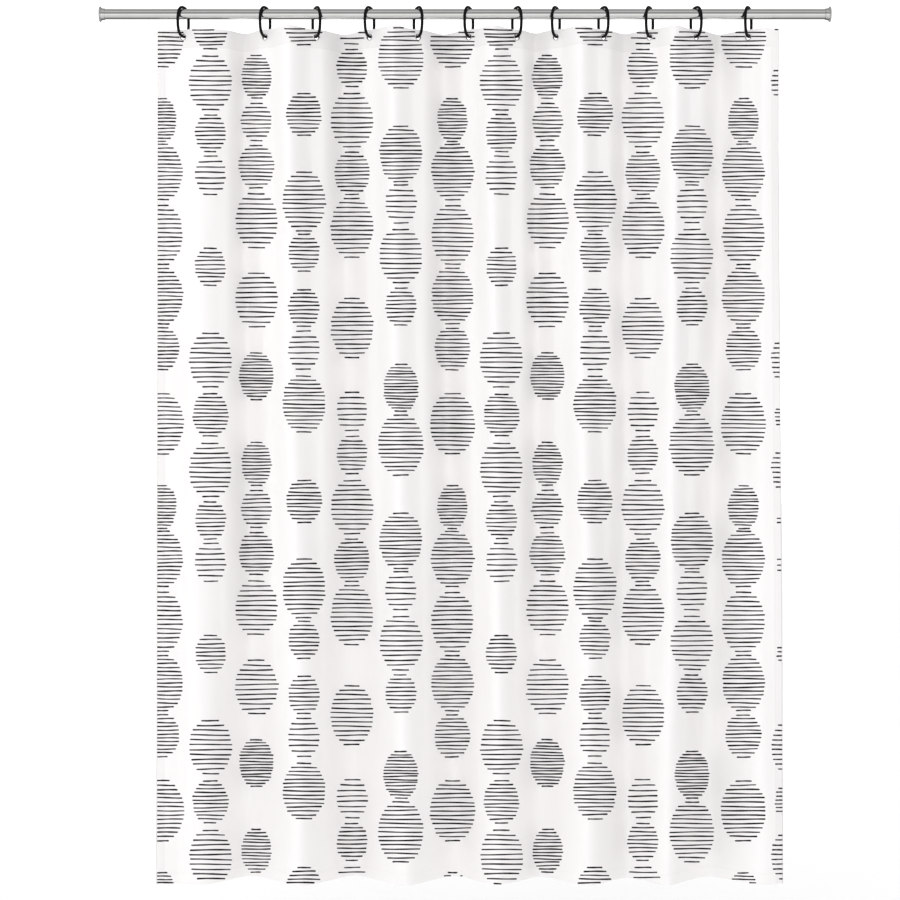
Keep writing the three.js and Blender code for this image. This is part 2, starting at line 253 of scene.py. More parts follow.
class Nodes:
    """A material's node tree, with short ways to add and link nodes."""

    def __init__(self, name: str) -> None:
        """Starts a material with one Principled shader.

        Args:
            name: The material's name.
        """
        self.material = bpy.data.materials.new(name)
        self.material.use_nodes = True
        self.tree = self.material.node_tree
        self.shader = self.tree.nodes["Principled BSDF"]
        self.coordinates = self.tree.nodes.new("ShaderNodeTexCoord")

    def add(self, kind: str, **inputs: object) -> bpy.types.Node:
        """Adds a node and sets its inputs: a socket is linked, and anything else is a value."""
        node = self.tree.nodes.new(kind)
        for socket, value in inputs.items():
            self.feed(node.inputs[socket.replace("_", " ")], value)
        return node

    def feed(self, socket: bpy.types.NodeSocket, value: object) -> None:
        """Links an output to a socket of this tree, or sets the socket to a value."""
        feed(self.tree, socket, value)

    def math(self, operation: str, *values: object) -> bpy.types.NodeSocket:
        """Returns the output of a math node on values or sockets."""
        return math_node(self.tree, operation, *values)

    def noise(
        self, vector: bpy.types.NodeSocket, scale: float, detail: float = 3.0
    ) -> bpy.types.NodeSocket:
        """Returns the 0 to 1 output of a noise texture."""
        return self.add("ShaderNodeTexNoise", Vector=vector, Scale=scale, Detail=detail).outputs[0]

    def stretched(self, vector: bpy.types.NodeSocket, scale: Sequence[float]) -> bpy.types.NodeSocket:
        """Returns coordinates scaled by a different amount along each axis."""
        return self.add("ShaderNodeMapping", Vector=vector, Scale=tuple(scale)).outputs[0]

    def ranged(self, value: bpy.types.NodeSocket, low: float, high: float) -> bpy.types.NodeSocket:
        """Spreads a value between 0.3 and 0.7, as noise is, over a range.

        Args:
            value: The output that is spread.
            low: What 0.3 becomes.
            high: What 0.7 becomes.

        Returns:
            The output of the range node.
        """
        node = self.add("ShaderNodeMapRange", Value=value)
        for socket, number in zip(("From Min", "From Max", "To Min", "To Max"), (0.3, 0.7, low, high)):
            node.inputs[socket].default_value = number
        return node.outputs[0]

    def blend(
        self, share: bpy.types.NodeSocket, first: Sequence[float], second: Sequence[float]
    ) -> bpy.types.NodeSocket:
        """Runs from one colour to another.

        Args:
            share: The output that runs from 0 to 1.
            first: The colour at 0, as three linear shares of light.
            second: The colour at 1.

        Returns:
            The colour output.
        """
        node = self.tree.nodes.new("ShaderNodeValToRGB")
        node.color_ramp.elements[0].color = (*first, 1)
        node.color_ramp.elements[1].color = (*second, 1)
        self.feed(node.inputs[0], share)
        return node.outputs[0]

    def mixed(self, share: bpy.types.NodeSocket, first: object, second: object) -> bpy.types.NodeSocket:
        """Mixes two colours.

        Args:
            share: 0 for all of the first, 1 for all of the second.
            first: A colour or a colour output.
            second: Another.

        Returns:
            The colour output.
        """
        node = self.tree.nodes.new("ShaderNodeMix")
        node.data_type = "RGBA"
        self.feed(node.inputs[0], share)
        self.feed(node.inputs[6], first)
        self.feed(node.inputs[7], second)
        return node.outputs[2]

    def bump(self, height: bpy.types.NodeSocket, strength: float, distance: float) -> None:
        """Feeds a height to the shader's normal."""
        node = self.add("ShaderNodeBump", Height=height, Strength=strength, Distance=distance)
        self.feed(self.shader.inputs["Normal"], node.outputs[0])

    def surface(self, colour: object, roughness: object, metallic: float = 0.0) -> None:
        """Sets the shader's colour, roughness and metalness."""
        self.feed(self.shader.inputs["Base Color"], colour)
        self.feed(self.shader.inputs["Roughness"], roughness)
        self.shader.inputs["Metallic"].default_value = metallic


@dataclass(frozen=True)
class PolishedMetal:
    """Bright plated steel with faint drawing lines along its length and handling marks."""

    name: str
    colour: tuple[float, float, float] = (0.88, 0.885, 0.88)
    dulled: tuple[float, float, float] = (0.78, 0.78, 0.775)
    roughness: tuple[float, float] = (0.05, 0.13)
    line_scale: tuple[float, float, float] = (6, 900, 900)

    def material(self) -> bpy.types.Material:
        """Returns the material."""
        nodes = Nodes(self.name)
        place = nodes.coordinates.outputs["Object"]
        marks = nodes.noise(place, 38, 4)
        lines = nodes.noise(nodes.stretched(place, self.line_scale), 1.0, 2)
        nodes.surface(
            nodes.blend(marks, self.dulled, self.colour),
            nodes.ranged(marks, self.roughness[1], self.roughness[0]),
            metallic=1.0,
        )
        nodes.bump(lines, 0.04, 0.00005)
        return nodes.material


@dataclass(frozen=True)
class Moulded:
    """Moulded plastic or rubber: a fine pebbled skin, scuffs that dull it, and a shade that drifts."""

    name: str
    colour: tuple[float, float, float]
    scuffed: tuple[float, float, float]
    roughness: tuple[float, float]
    pebble: float = 2600.0
    pebble_strength: float = 0.12
    gloss: float = 0.5

    def material(self) -> bpy.types.Material:
        """Returns the material."""
        nodes = Nodes(self.name)
        place = nodes.coordinates.outputs["Object"]
        scuffs = nodes.noise(place, 210, 5)
        nodes.surface(
            nodes.blend(scuffs, self.colour, self.scuffed),
            nodes.ranged(scuffs, self.roughness[0], self.roughness[1]),
        )
        nodes.shader.inputs["Specular IOR Level"].default_value = self.gloss
        nodes.bump(nodes.noise(place, self.pebble, 2), self.pebble_strength, 0.00004)
        return nodes.material


@dataclass(frozen=True)
class WovenCloth:
    """Plain-woven polyester: two sets of threads, slubs along them, a faint uneven white, and painted
    shade that darkens the header band and the side hems.
    """

    name: str = "woven_polyester"
    thread: float = 0.42 * MM
    colour: tuple[float, float, float] = (0.905, 0.89, 0.886)
    shaded: tuple[float, float, float] = (0.875, 0.855, 0.85)
    # How much darker the painted shade makes the header band and the side hems
    hem_shade: float = 0.955
    roughness: tuple[float, float] = (0.72, 0.9)
    width: float = 1.8068
    height: float = 1.8105
    header_depth: float = 40 * MM
    side_depth: float = 18 * MM

    def material(self) -> bpy.types.Material:
        """Returns the material. Its pattern lies on the flat cut of the cloth, in metres."""
        nodes = Nodes(self.name)
        cut = nodes.coordinates.outputs["UV"]
        split = nodes.add("ShaderNodeSeparateXYZ", Vector=cut)
        rate = 2 * math.pi / self.thread
        warp = nodes.math("SINE", nodes.math("MULTIPLY", split.outputs[0], rate))
        weft = nodes.math("SINE", nodes.math("MULTIPLY", split.outputs[1], rate))
        weave = nodes.math("MULTIPLY", warp, weft)
        slubs = nodes.noise(nodes.stretched(cut, (9, 700, 1)), 1.0, 3)
        cloud = nodes.noise(cut, 5.0, 4)
        tone = nodes.math(
            "ADD", nodes.math("MULTIPLY", slubs, 0.35), nodes.math("MULTIPLY", cloud, 0.65)
        )
        # Painted shade: the header band and the side hems are drawn darker than the rest of the cloth
        edges = (
            nodes.math("LESS_THAN", split.outputs[0], self.side_depth),
            nodes.math("GREATER_THAN", split.outputs[0], self.width - self.side_depth),
            nodes.math("GREATER_THAN", split.outputs[1], self.height - self.header_depth),
        )
        hem_shade_mask = edges[0]
        for edge in edges[1:]:
            hem_shade_mask = nodes.math("MAXIMUM", hem_shade_mask, edge)
        single = nodes.blend(tone, self.shaded, self.colour)
        hem_shade_tints = [tuple(self.hem_shade * part for part in tint) for tint in (self.shaded, self.colour)]
        nodes.surface(
            nodes.mixed(hem_shade_mask, single, nodes.blend(tone, *hem_shade_tints)),
            nodes.ranged(slubs, self.roughness[0], self.roughness[1]),
        )
        nodes.shader.inputs["Sheen Weight"].default_value = 0.15
        nodes.shader.inputs["Sheen Roughness"].default_value = 0.5
        nodes.shader.inputs["Specular IOR Level"].default_value = 0.25
        height = nodes.math("ADD", weave, nodes.math("MULTIPLY", slubs, 1.5))
        nodes.bump(height, 0.18, 0.00006)
        return nodes.material


@dataclass(frozen=True)
class PrintedInk:
    """Brushed ink in the cloth: thin where the brush ran dry, with the threads showing through. In pale
    grey the same material makes the painted shadow of the print on the back face.
    """

    name: str
    full: tuple[float, float, float]
    dry: tuple[float, float, float]

    def material(self) -> bpy.types.Material:
        """Returns the material."""
        nodes = Nodes(self.name)
        place = nodes.coordinates.outputs["Object"]
        brush = nodes.noise(nodes.stretched(place, (60, 60, 900)), 1.0, 4)
        nodes.surface(nodes.blend(brush, self.full, self.dry), nodes.ranged(brush, 0.7, 0.9))
        nodes.shader.inputs["Specular IOR Level"].default_value = 0.15
        nodes.bump(nodes.noise(place, 2400, 2), 0.1, 0.00004)
        return nodes.material


@dataclass(frozen=True)
class SewingThread:
    """White polyester thread with a twist along it, its grooves painted darker as shade."""

    name: str = "sewing_thread"
    # Painted shade: the low parts of the twist are drawn darker than the strands
    grooves: tuple[float, float, float] = (0.74, 0.73, 0.71)
    strands: tuple[float, float, float] = (0.84, 0.83, 0.81)
    twist_scale: tuple[float, float, float] = (1500, 1500, 1500)

    def material(self) -> bpy.types.Material:
        """Returns the material."""
        nodes = Nodes(self.name)
        place = nodes.coordinates.outputs["Object"]
        twist = nodes.noise(nodes.stretched(place, self.twist_scale), 1.0, 2)
        # Painted shade: the colour darkens where the twist's bump is low
        nodes.surface(nodes.blend(twist, self.grooves, self.strands), nodes.ranged(twist, 0.5, 0.7))
        nodes.bump(twist, 0.3, 0.00005)
        return nodes.material


class Finish(Enum):
    """The finishes of this curtain."""

    ROD = PolishedMetal("rod_plating")
    CAP = PolishedMetal("cap_plating", roughness=(0.07, 0.16), line_scale=(900, 900, 900))
    GROMMET = PolishedMetal(
        "grommet_plating", (0.8, 0.8, 0.79), (0.7, 0.7, 0.69), (0.18, 0.3), (400, 400, 400)
    )
    SPINDLE = PolishedMetal(
        "spindle_plating", (0.5, 0.5, 0.5), (0.4, 0.4, 0.39), (0.25, 0.4), (300, 40, 40)
    )
    PAD = Moulded("pad_rubber", (0.55, 0.55, 0.54), (0.48, 0.48, 0.47), (0.7, 0.9), 1400, 0.3)
    RING = Moulded(
        "ring_skin", (0.003, 0.003, 0.003), (0.006, 0.006, 0.006), (0.3, 0.45), 1800, 0.1, 0.12
    )
    LOCK = Moulded("lock_moulding", (0.72, 0.7, 0.66), (0.64, 0.62, 0.58), (0.45, 0.65))
    CLOTH = WovenCloth()
    INK = PrintedInk("dot_ink", (0.009, 0.009, 0.009), (0.022, 0.0215, 0.021))
    # Pale grey strokes on the back face: painted shadow of the front print seen through the cloth
    PRINT_SHADOW = PrintedInk("painted_print_shadow", (0.62, 0.615, 0.61), (0.7, 0.695, 0.69))
    THREAD = SewingThread()

    def on(self, piece: bpy.types.Object) -> bpy.types.Object:
        """Gives a piece this finish, made once and shared, and returns the piece."""
        material = bpy.data.materials.get(self.value.name) or self.value.material()
        piece.data.materials.clear()
        piece.data.materials.append(material)
        return piece


# ------------------------------------------------------------------ camera, light and floor
@dataclass(frozen=True)
class Studio:
    """The camera, a bright even surround and a pale floor."""

    camera_at: tuple[float, float, float] = STANDING_POINT
    lens: float = 84.7
    floor_z: float = -2.05
    floor_half: float = 40.0
    light: float = 1.12
    left_share: float = 0.27
    room_share: float = 0.15
    seen_white: float = 1.5
    # (degrees up from the room's horizon and over, brightness) of what polished metal mirrors
    mirrored: tuple[tuple[float, float], ...] = (
        (-180, 0.6),
        (-140, 0.2),
        (-116, 0.14),
        (-88, 0.5),
        (-62, 0.72),
        (-38, 0.75),
        (-17, 1.0),
        (-6, 0.9),
        (5, 0.33),
        (29, 0.28),
        (54, 0.64),
        (70, 0.42),
        (83, 0.3),
        (124, 0.34),
    )

    def set_camera(self) -> None:
        """Makes the level camera that looks along +Y."""
        data = bpy.data.cameras.new("camera")
        data.lens = self.lens
        camera = bpy.data.objects.new("camera", data)
        camera.location = self.camera_at
        camera.rotation_euler = (math.pi / 2, 0, 0)
        bpy.context.scene.collection.objects.link(camera)
        bpy.context.scene.camera = camera

    def set_light(self) -> None:
        """Makes a white surround, with bands round X that only mirrors show.

        Its light is brighter from the left and from the room side. The camera sees it plain white.
        """
        world = bpy.data.worlds.new("surround")
        world.use_nodes = True
        bpy.context.scene.world = world
        tree = world.node_tree
        even, banded = tree.nodes["Background"], tree.nodes.new("ShaderNodeBackground")
        direction = tree.nodes.new("ShaderNodeTexCoord")
        split = tree.nodes.new("ShaderNodeSeparateXYZ")
        tree.links.new(direction.outputs["Generated"], split.inputs[0])

        worked = partial(math_node, tree)
        from_left = worked("MULTIPLY_ADD", split.outputs[0], -self.left_share * self.light, self.light)
        lit = worked("MULTIPLY_ADD", split.outputs[1], -self.room_share * self.light, from_left)
        rays = tree.nodes.new("ShaderNodeLightPath")
        seen = worked("MULTIPLY", rays.outputs["Is Camera Ray"], self.seen_white)
        lift = worked("MAXIMUM", lit, seen)
        tree.links.new(lift, even.inputs["Strength"])
        even.inputs["Color"].default_value = (1, 1, 1, 1)
        round_x = worked("ARCTAN2", split.outputs[2], worked("MULTIPLY", split.outputs[1], -1.0))
        ramp = tree.nodes.new("ShaderNodeValToRGB")
        stops = ramp.color_ramp.elements
        while len(stops) < len(self.mirrored):
            stops.new(0.5)
        for stop, (degrees, bright) in zip(stops, self.mirrored):
            stop.position = (degrees + 180) / 360
            stop.color = (bright, bright, bright * 0.985, 1)
        tree.links.new(worked("MULTIPLY_ADD", round_x, 0.5 / math.pi, 0.5), ramp.inputs[0])
        tree.links.new(ramp.outputs[0], banded.inputs["Color"])
        mix = tree.nodes.new("ShaderNodeMixShader")
        tree.links.new(rays.outputs["Is Glossy Ray"], mix.inputs[0])
        tree.links.new(even.outputs[0], mix.inputs[1])
        tree.links.new(banded.outputs[0], mix.inputs[2])
        tree.links.new(mix.outputs[0], tree.nodes["World Output"].inputs["Surface"])
        bpy.context.scene.view_settings.view_transform = "Standard"

    def lay_floor(self) -> None:
        """Lays a wide pale floor below the cloth."""
        side = np.linspace(-self.floor_half, self.floor_half, 9)
        x, y = np.meshgrid(side, side)
        points = np.stack([x.ravel(), y.ravel(), np.full(x.size, self.floor_z)], axis=1)
        floor = new_object("floor", points, grid_faces(np.arange(x.size).reshape(x.shape)).tolist())
        nodes = Nodes("floor_paint")
        mottle = nodes.noise(nodes.coordinates.outputs["Object"], 1.5, 3)
        nodes.surface(nodes.blend(mottle, (0.93, 0.93, 0.93), (0.96, 0.96, 0.96)), 0.95)
        floor.data.materials.append(nodes.material)
        floor.visible_glossy = False

    def build(self) -> None:
        """Builds the studio."""
        self.set_camera()
        self.set_light()
        self.lay_floor()
        log.info("studio: camera, surround and floor")


# ------------------------------------------------------------------ rod
@dataclass(frozen=True)
class Rod:
    """The extending rod: two tubes, a twist lock inside them, flared caps and foot pads."""

    wall: float = 0.8 * MM
    pad_edge: float = 0.7 * MM
    collar: float = 12.4 * MM
    cap_floor: float = 2 * MM
    bore_gap: float = 0.3 * MM
    thread_pitch: float = 2.5 * MM
    thread_depth: float = 0.35 * MM
    spindle_end: float = 1.2 * MM
    cap_edge: float = 0.4 * MM
    # where the cap's flare starts behind its rim and how long it is, as shares of the cap's length
    flare_start: float = 0.09
    flare_length: float = 0.68
    segments: int = 96

    def tube(self, name: str, node: str, body: str) -> bpy.types.Object:
        """Makes a tube with softened ends where a CAD tube is.

        Args:
            name: The new piece's name.
            node: The CAD tube that it replaces.
            body: The body that it rides on.

        Returns:
            The tube.
        """
        low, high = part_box(node)
        radius = high.z
        corners = [
            (radius - self.wall, low.x),
            (radius - self.wall, high.x),
            (radius, high.x),
            (radius, low.x),
        ]
        outline = rounded_outline(corners, self.wall * 0.45)
        return self.finished(name, outline, node, body, Finish.ROD)

    def finished(
        self, name: str, outline: np.ndarray, node: str, body: str, finish: Finish
    ) -> bpy.types.Object:
        """Turns an outline about the rod's axis and puts it in place of a CAD node.

        Args:
            name: The new piece's name.
            outline: (radius, X) points of the closed outline.
            node: The CAD node that it replaces.
            body: The body that it rides on.
            finish: Its finish.

        Returns:
            The piece.
        """
        piece = finish.on(turned(name, outline, (0, 0, 0), (1, 0, 0), self.segments))
        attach(piece, body)
        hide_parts(node)
        log.info("%s rides on %s", name, body)
        return piece

    def cap(self, name: str, node: str, tube_node: str, body: str, outward: int) -> bpy.types.Object:
        """Makes a flared cap, whose flare follows a quarter of an ellipse from collar to rim.

        Args:
            name: The new piece's name.
            node: The CAD cap that it replaces.
            tube_node: The CAD tube that the cap holds.
            body: The body that it rides on.
            outward: -1 where the rim faces -X, 1 where it faces +X.

        Returns:
            The cap.
        """
        low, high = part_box(node)
        rim = high.z
        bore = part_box(tube_node)[1].z + self.bore_gap
        rim_x, mouth_x = (high.x, low.x) if outward > 0 else (low.x, high.x)
        length = abs(mouth_x - rim_x)
        turn = np.linspace(0, math.pi / 2, 12)
        flare_radius = self.collar + (rim - self.collar) * (1 - np.sin(turn))
        flare_depth = self.flare_start * length + self.flare_length * length * (1 - np.cos(turn))
        edge = self.cap_edge
        face = [(0.0, 0.0), (rim - edge, 0.0), (rim, 0.5 * edge)]
        mouth = [(self.collar, length - edge), (self.collar - edge, length)]
        socket = [
            (bore + 0.3 * MM, length),
            (bore, length - 0.3 * MM),
            (bore, self.cap_floor + 0.3 * MM),
            (bore - edge, self.cap_floor),
            (0.0, self.cap_floor),
        ]
        outline = np.array([*face, *zip(flare_radius, flare_depth), *mouth, *socket])
        outline[:, 1] = rim_x - outward * outline[:, 1]
        if outward > 0:
            outline = outline[::-1]
        return self.finished(name, outline, node, body, Finish.CAP)

    def pad(self, side: str, body: str) -> bpy.types.Object:
        """Makes the foot pad of one side, a disc with softened edges.

        Args:
            side: left or right.
            body: The body that it rides on.

        Returns:
            The pad.
        """
        node = f"{side}_foot_pad"
        low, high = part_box(node)
        corners = [(0.0, low.x), (high.z, low.x), (high.z, high.x), (0.0, high.x)]
        outline = rounded_outline(corners, self.pad_edge)
        return self.finished(f"{side}_pad", outline, node, body, Finish.PAD)

    def plug(self, body: str) -> bpy.types.Object:
        """Makes the plug that closes the inner tube.

        A flange lies against the tube's end, and a ribbed spigot is in its bore.

        Args:
            body: The body that it rides on.

        Returns:
            The plug.
        """
        low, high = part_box("rod_lock_plug")
        tube_low, tube_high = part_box("rod_inner_tube")
        tube_start, tube_bore = tube_low.x, tube_high.z - self.wall
        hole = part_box("rod_lock_spindle")[1].z + self.bore_gap
        shoulder = tube_start - self.bore_gap
        ribs = np.linspace(shoulder, high.x, 9)[1:-1]
        spigot = tube_bore - self.bore_gap
        dips = [(spigot - (0.5 * MM if step % 2 else 0), x) for step, x in enumerate(ribs)]
        corners = [
            (hole, low.x),
            (hole, high.x),
            (spigot, high.x),
            *reversed(dips),
            (spigot, shoulder),
            (high.z, shoulder),
            (high.z, low.x),
        ]
        outline = rounded_outline(corners, 0.4 * MM)
        return self.finished("lock_plug", outline, "rod_lock_plug", body, Finish.LOCK)

    def cone(self, body: str) -> bpy.types.Object:
        """Makes the gripping cone, with three grooves round its barrel.

        Args:
            body: The body that it rides on.

        Returns:
            The cone.
        """
        low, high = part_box("rod_grip_cone")
        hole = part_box("rod_lock_spindle")[1].z + self.bore_gap
        barrel = low.x + 0.4 * (high.x - low.x)
        grooves = np.linspace(barrel, high.x, 8)[1:-1]
        ridges = [(high.z - (0.6 * MM if step % 2 == 0 else 0), x) for step, x in enumerate(grooves)]
        corners = [
            (hole, low.x),
            (hole, high.x),
            (high.z, high.x),
            *reversed(ridges),
            (high.z, barrel),
            (high.z - 1.6 * MM, low.x),
        ]
        outline = rounded_outline(corners, 0.5 * MM)
        return self.finished("grip_cone", outline, "rod_grip_cone", body, Finish.LOCK)

    def spindle(self, body: str) -> bpy.types.Object:
        """Makes the threaded spindle.

        Its radius is r - depth * |wave|, where wave goes evenly from -1 to 1 and back once in each
        pitch along the axis and is carried round by the turn, so that the thread is a helix.

        Args:
            body: The body that it rides on.

        Returns:
            The spindle.
        """
        low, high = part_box("rod_lock_spindle")
        radius, length = high.z, high.x - low.x
        along = np.linspace(0, length, int(length / self.thread_pitch) * 8 + 1)
        angle = np.linspace(0, 2 * math.pi, 24, endpoint=False)
        x, turn = np.meshgrid(along, angle, indexing="ij")
        phase = (x / self.thread_pitch + turn / (2 * math.pi)) % 1
        thread = radius - self.thread_depth * np.abs(2 * phase - 1)
        end_share = np.clip(np.minimum(x, length - x) / self.spindle_end, 0, 1)
        reach = thread * (0.75 + 0.25 * np.sqrt(end_share))
        rows = np.stack([low.x + x, reach * np.cos(turn), reach * np.sin(turn)], axis=-1)
        piece = capped("lock_spindle", rows, np.array([[low.x, 0, 0], [high.x, 0, 0]]))
        Finish.SPINDLE.on(piece)
        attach(piece, body)
        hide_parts("rod_lock_spindle")
        log.info("lock_spindle rides on %s", body)
        return piece

    def build(self) -> None:
        """Builds the whole rod."""
        self.tube("outer_tube", "rod_outer_tube", "rod")
        self.tube("inner_tube", "rod_inner_tube", "rod_slider")
        self.cap("left_cap", "left_end_cap", "rod_outer_tube", "rod", -1)
        self.cap("right_cap", "right_end_cap", "rod_inner_tube", "rod_slider", 1)
        self.pad("left", "rod")
        self.pad("right", "rod_slider")
        self.plug("rod_slider")
        self.cone("rod_slider")
        self.spindle("rod_slider")


# ------------------------------------------------------------------ rings and grommets
def ring_label(index: int) -> str:
    """Returns the two-digit number of a ring, counted from 1."""
    return f"{index + 1:02d}"


def ring_body(index: int) -> str:
    """Returns the body that a ring rides on: the first one is fixed to the cloth's end."""
    return "curtain" if index == 0 else f"ring_carrier_{ring_label(index)}"


def draws_with_curtain(piece: bpy.types.Object) -> bpy.types.Object:
    """Makes a piece ride on the curtain and close up with it as it is drawn, and returns it."""
    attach(piece, "curtain")
    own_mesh(piece)
    return piece


def ring_x(index: int) -> float:
    """Returns where a ring's middle is along the rod."""
    low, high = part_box(f"ring_{ring_label(index)}")
    return (low.x + high.x) / 2


def grommet_centre(index: int) -> np.ndarray:
    """Returns the middle of a grommet's hole, on the rod's own line seen from above."""
    low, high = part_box(f"grommet_{ring_label(index)}")
    return np.array([ring_x(index), 0.0, (low.z + high.z) / 2])


@dataclass(frozen=True)
class Rings:
    """Twelve open oblong rings of round wire, each turned to face along its grommet."""

    turns: tuple[int, ...] = (-1, -1, 1, -1, 1, -1, 1, -1, 1, -1, 1, -1)
    yaw_deg: float = 25.5
    wire: float = 3.1 * MM
    squareness: float = 2.5
    half_width: float = 21 * MM
    gap_at_deg: float = 230.0
    gap_deg: float = 12.0
    steps: int = 110
    sides: int = 20

    def wire_points(self, half_height: float) -> tuple[np.ndarray, np.ndarray]:
        """Works out the surface of one ring about its middle.

        The centre line is the curve |x/w|^n + |z/h|^n = 1, counted by the angle from the front,
        and the wire is round. Both ends close as half balls.

        Args:
            half_height: Half the height of the centre line.

        Returns:
            Points (rows, sides, 2 of plane and 1 of depth) as front, depth and up, and the poles.
        """
        start = math.radians(self.gap_at_deg + self.gap_deg / 2)
        angle = start + np.linspace(0, math.radians(360 - self.gap_deg), self.steps)
        power = self.squareness
        across = np.abs(np.cos(angle) / self.half_width) ** power
        upward = np.abs(np.sin(angle) / half_height) ** power
        radius = (across + upward) ** (-1 / power)
        line = np.stack([radius * np.cos(angle), radius * np.sin(angle)], axis=1)
        heading = np.gradient(line, axis=0)
        heading /= np.linalg.norm(heading, axis=1, keepdims=True)
        bend = np.linspace(math.pi / 2, 0, 7)[1:-1]
        ends = []
        for at, toward in ((0, -1), (-1, 1)):
            reach = self.wire * np.sin(bend)[:, None] * toward * heading[at]
            ends.append((line[at] + reach, self.wire * np.cos(bend)))
        centres = np.vstack([ends[0][0], line, ends[1][0][::-1]])
        radii = np.concatenate([ends[0][1], np.full(self.steps, self.wire), ends[1][1][::-1]])
        headings = np.vstack([np.repeat(heading[:1], 5, 0), heading, np.repeat(heading[-1:], 5, 0)])
        side = np.stack([headings[:, 1], -headings[:, 0]], axis=1)
        turn = np.linspace(0, 2 * math.pi, self.sides, endpoint=False)
        in_plane = centres[:, None] + radii[:, None, None] * np.cos(turn)[None, :, None] * side[:, None]
        depth = radii[:, None] * np.sin(turn)[None, :]
        points = np.stack([in_plane[..., 0], depth, in_plane[..., 1]], axis=-1)
        tips = [line[0] - self.wire * heading[0], line[-1] + self.wire * heading[-1]]
        poles = np.array([[tip[0], 0.0, tip[1]] for tip in tips])
        return points, poles

    def build_one(self, index: int) -> bpy.types.Object:
        """Makes one ring where its CAD ring is, turned about the vertical.

        Args:
            index: The ring's place, from 0 at the left.

        Returns:
            The ring.
        """
        node = f"ring_{ring_label(index)}"
        low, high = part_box(node)
        points, poles = self.wire_points((high.z - low.z) / 2 - self.wire)
        front = math.radians(-90 + self.yaw_deg * self.turns[index])
        swing = np.array(
            [[math.cos(front), -math.sin(front), 0], [math.sin(front), math.cos(front), 0], [0, 0, 1]]
        )
        middle = np.array([ring_x(index), 0, (low.z + high.z) / 2])
        ring = capped(f"hanging_{node}", points @ swing.T + middle, poles @ swing.T + middle)
        Finish.RING.on(ring)
        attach(ring, ring_body(index))
        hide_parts(node)
        return ring

    def build(self) -> list[bpy.types.Object]:
        """Builds all the rings and returns them."""
        rings = [self.build_one(index) for index in range(RINGS)]
        log.info("%d rings ride on the curtain and its carriers", len(rings))
        return rings


@dataclass(frozen=True)
class Grommets:
    """Two-part metal eyelets: a rolled front flange with its barrel, and a washer behind."""

    # (radius, distance towards the front) round each outline, in millimetres
    flange: tuple[tuple[float, float], ...] = (
        (5.2, -3.1),
        (5.2, 1.0),
        (5.7, 1.4),
        (6.4, 1.35),
        (7.0, 0.85),
        (6.85, 0.6),
        (5.9, 0.62),
        (5.9, -2.62),
        (6.5, -2.62),
        (6.7, -2.9),
        (6.2, -3.2),
    )
    washer: tuple[tuple[float, float], ...] = (
        (6.2, -2.3),
        (6.2, -1.55),
        (7.3, -1.5),
        (7.3, -1.9),
        (6.9, -2.3),
    )
    flange_edge: float = 0.35 * MM
    washer_edge: float = 0.2 * MM
    segments: int = 40

    def front(self, index: int) -> tuple[float, float, float]:
        """Returns the direction that a grommet faces, square to the cloth that it sits in."""
        slope = FIRST_SLOPE if index == 0 else HEADER_SLOPE * (1 if index % 2 == 0 else -1)
        length = math.hypot(1, slope)
        return (slope / length, -1 / length, 0.0)

    def finish(self, piece: bpy.types.Object, node: str) -> bpy.types.Object:
        """Dresses a grommet piece and puts it in place of its CAD node."""
        Finish.GROMMET.on(piece)
        draws_with_curtain(piece)
        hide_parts(node)
        return piece

    def build_one(self, index: int) -> list[bpy.types.Object]:
        """Makes one grommet and its washer.

        Args:
            index: The grommet's place, from 0 at the left.

        Returns:
            The two pieces.
        """
        label, at, front = ring_label(index), grommet_centre(index), self.front(index)
        pieces = []
        for name, node, points, edge in (
            ("eyelet", "grommet", self.flange, self.flange_edge),
            ("eyelet_washer", "grommet_washer", self.washer, self.washer_edge),
        ):
            outline = rounded_outline(np.array(points) * MM, edge, 3)
            piece = turned(f"{name}_{label}", outline, at, front, self.segments)
            pieces.append(self.finish(piece, f"{node}_{label}"))
        return pieces

    def build(self) -> list[bpy.types.Object]:
        """Builds all the grommets and returns their pieces."""
        pieces = [piece for index in range(RINGS) for piece in self.build_one(index)]
        log.info("%d grommet pieces draw with the curtain", len(pieces))
        return pieces


